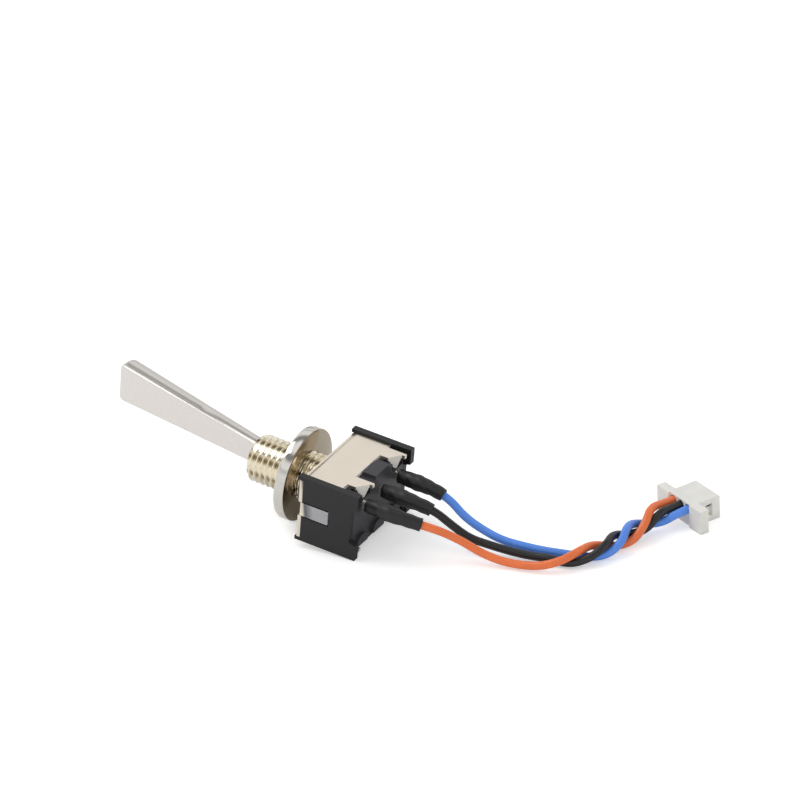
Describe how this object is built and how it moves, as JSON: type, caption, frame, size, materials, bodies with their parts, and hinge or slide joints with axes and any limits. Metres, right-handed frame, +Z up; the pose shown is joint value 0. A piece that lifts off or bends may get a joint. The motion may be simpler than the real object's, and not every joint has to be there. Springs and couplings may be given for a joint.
{
  "type": "toggle switch",
  "caption": "Panel toggle switch with a long flat paddle lever, threaded bushing with a round nut, folded metal frame and sleeved wires that end in a small plug.",
  "frame": {"origin": "on the surface that the switch lies on, under the middle of the switch without its wires and plug", "axes": "+X along the lever's throw, +Y from the terminals towards the lever's tip, +Z up"},
  "size_m": [0.0295, 0.0729, 0.0119],
  "materials": {
    "thread_metal": "bright",
    "nut_metal": "polished nickel",
    "frame_metal": "satin",
    "case_plastic": "matte",
    "base_plastic": "matte",
    "contact_metal": "tinned",
    "lever_metal": "satin nickel",
    "pin_metal": "bright",
    "slider_plastic": "natural",
    "wire_orange": "satin",
    "wire_black": "satin",
    "wire_blue": "satin",
    "sleeve": "satin",
    "plug_plastic": "natural",
    "conductor_metal": "tinned copper"
  },
  "bodies": {
    "body": {"bushing": "thread_metal", "panel_nut": "nut_metal", "frame": "frame_metal", "case": "case_plastic", "terminal_base": "base_plastic", "terminal_orange": "contact_metal", "terminal_black": "contact_metal", "terminal_blue": "contact_metal", "conductor_orange": "conductor_metal", "wire_orange": "wire_orange", "conductor_black": "conductor_metal", "wire_black": "wire_black", "conductor_blue": "conductor_metal", "wire_blue": "wire_blue", "sleeve_orange": "sleeve", "sleeve_black": "sleeve", "sleeve_blue": "sleeve", "plug_housing": "plug_plastic", "crimp_orange": "contact_metal", "crimp_black": "contact_metal", "crimp_blue": "contact_metal"},
    "lever": {"lever": "lever_metal", "hinge_pin": "pin_metal"},
    "slider": {"slider": "slider_plastic", "bridge_contact": "contact_metal", "contact_spring": "pin_metal", "detent_spring": "pin_metal", "detent_ball": "pin_metal"}
  },
  "joints": [
    {"name": "lever_throw", "type": "hinge", "parent": "body", "child": "lever", "pos_m": [0, -0.00597, 0.00599], "axis": [0, -0.1273, 0.9919], "range_deg": [0, 22.6]},
    {"name": "slider_travel", "type": "slide", "parent": "body", "child": "slider", "axis": [1, 0, 0], "range_m": [0, 0.00249]}
  ],
  "couplings": [
    {"joint": "slider_travel", "follows": "lever_throw", "m_per_rad": 0.0063089}
  ]
}
